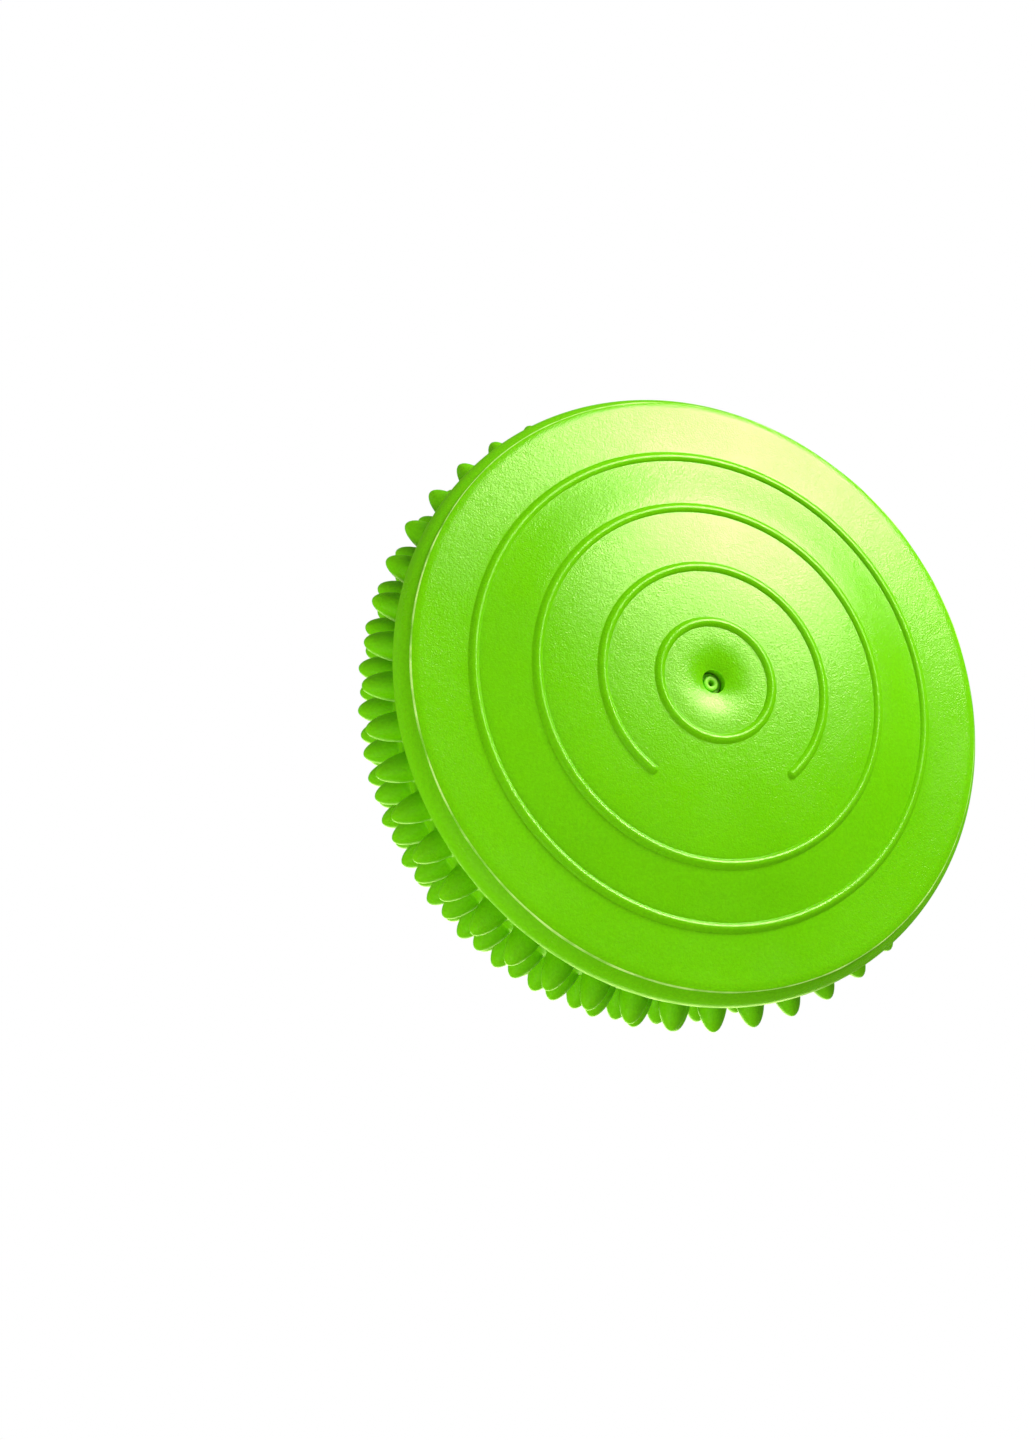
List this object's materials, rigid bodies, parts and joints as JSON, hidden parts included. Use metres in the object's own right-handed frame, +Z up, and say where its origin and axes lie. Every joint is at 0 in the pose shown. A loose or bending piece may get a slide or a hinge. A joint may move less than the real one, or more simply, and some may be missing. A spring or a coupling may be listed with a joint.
{
  "type": "balance pad",
  "caption": "Round air-filled balance pad: a spiked half-dome skin on a ribbed round base with a needle valve in a dimple.",
  "frame": {"origin": "middle of the base, at the height of the innermost rib's crest, which is the lowest face and stands on the floor", "axes": "+Z up through the crown of the dome; -Y towards the gap in the second rib"},
  "size_m": [0.1679, 0.1679, 0.0967],
  "materials": {
    "dome_skin": "glossy soft PVC, finely grained",
    "base_skin": "satin-gloss soft PVC, finely grained",
    "valve_sleeve": "milky semi-hard PVC",
    "valve_core": "soft satin rubber"
  },
  "bodies": {
    "base": {"base_shell": "base_skin", "valve_sleeve": "valve_sleeve", "valve_core": "valve_core"},
    "dome": {"dome_shell": "dome_skin"}
  },
  "joints": [
    {"name": "dome_press", "type": "slide", "parent": "base", "child": "dome", "axis": [0, 0, -1], "range_m": [0, 0.008], "stiffness_N_per_m": 40000, "deforming": ["dome_shell"]}
  ]
}
